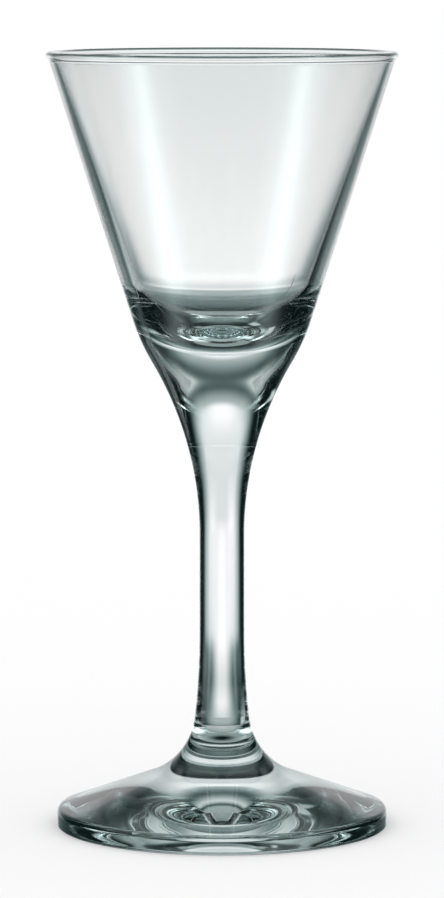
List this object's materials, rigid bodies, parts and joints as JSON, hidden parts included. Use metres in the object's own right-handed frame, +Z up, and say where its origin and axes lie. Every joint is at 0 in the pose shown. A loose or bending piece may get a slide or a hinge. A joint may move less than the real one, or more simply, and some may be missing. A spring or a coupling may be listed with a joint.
{
  "type": "cordial glass",
  "caption": "Small stemmed glass for cordials and liqueurs: a straight conical bowl with a thick base, a slim drawn stem and a round foot with a shallow hollow underneath.",
  "frame": {"origin": "centre of the foot, on the plane of the ring that the glass stands on", "axes": "+Z up along the axis of the glass, from the foot to the rim"},
  "size_m": [0.06, 0.06, 0.1332],
  "materials": {
    "soda_lime_glass": "clear, fire-polished, with a faint grey-green tint in its depth"
  },
  "bodies": {
    "root": {"bowl": "soda_lime_glass", "stem": "soda_lime_glass", "foot": "soda_lime_glass"}
  },
  "joints": []
}
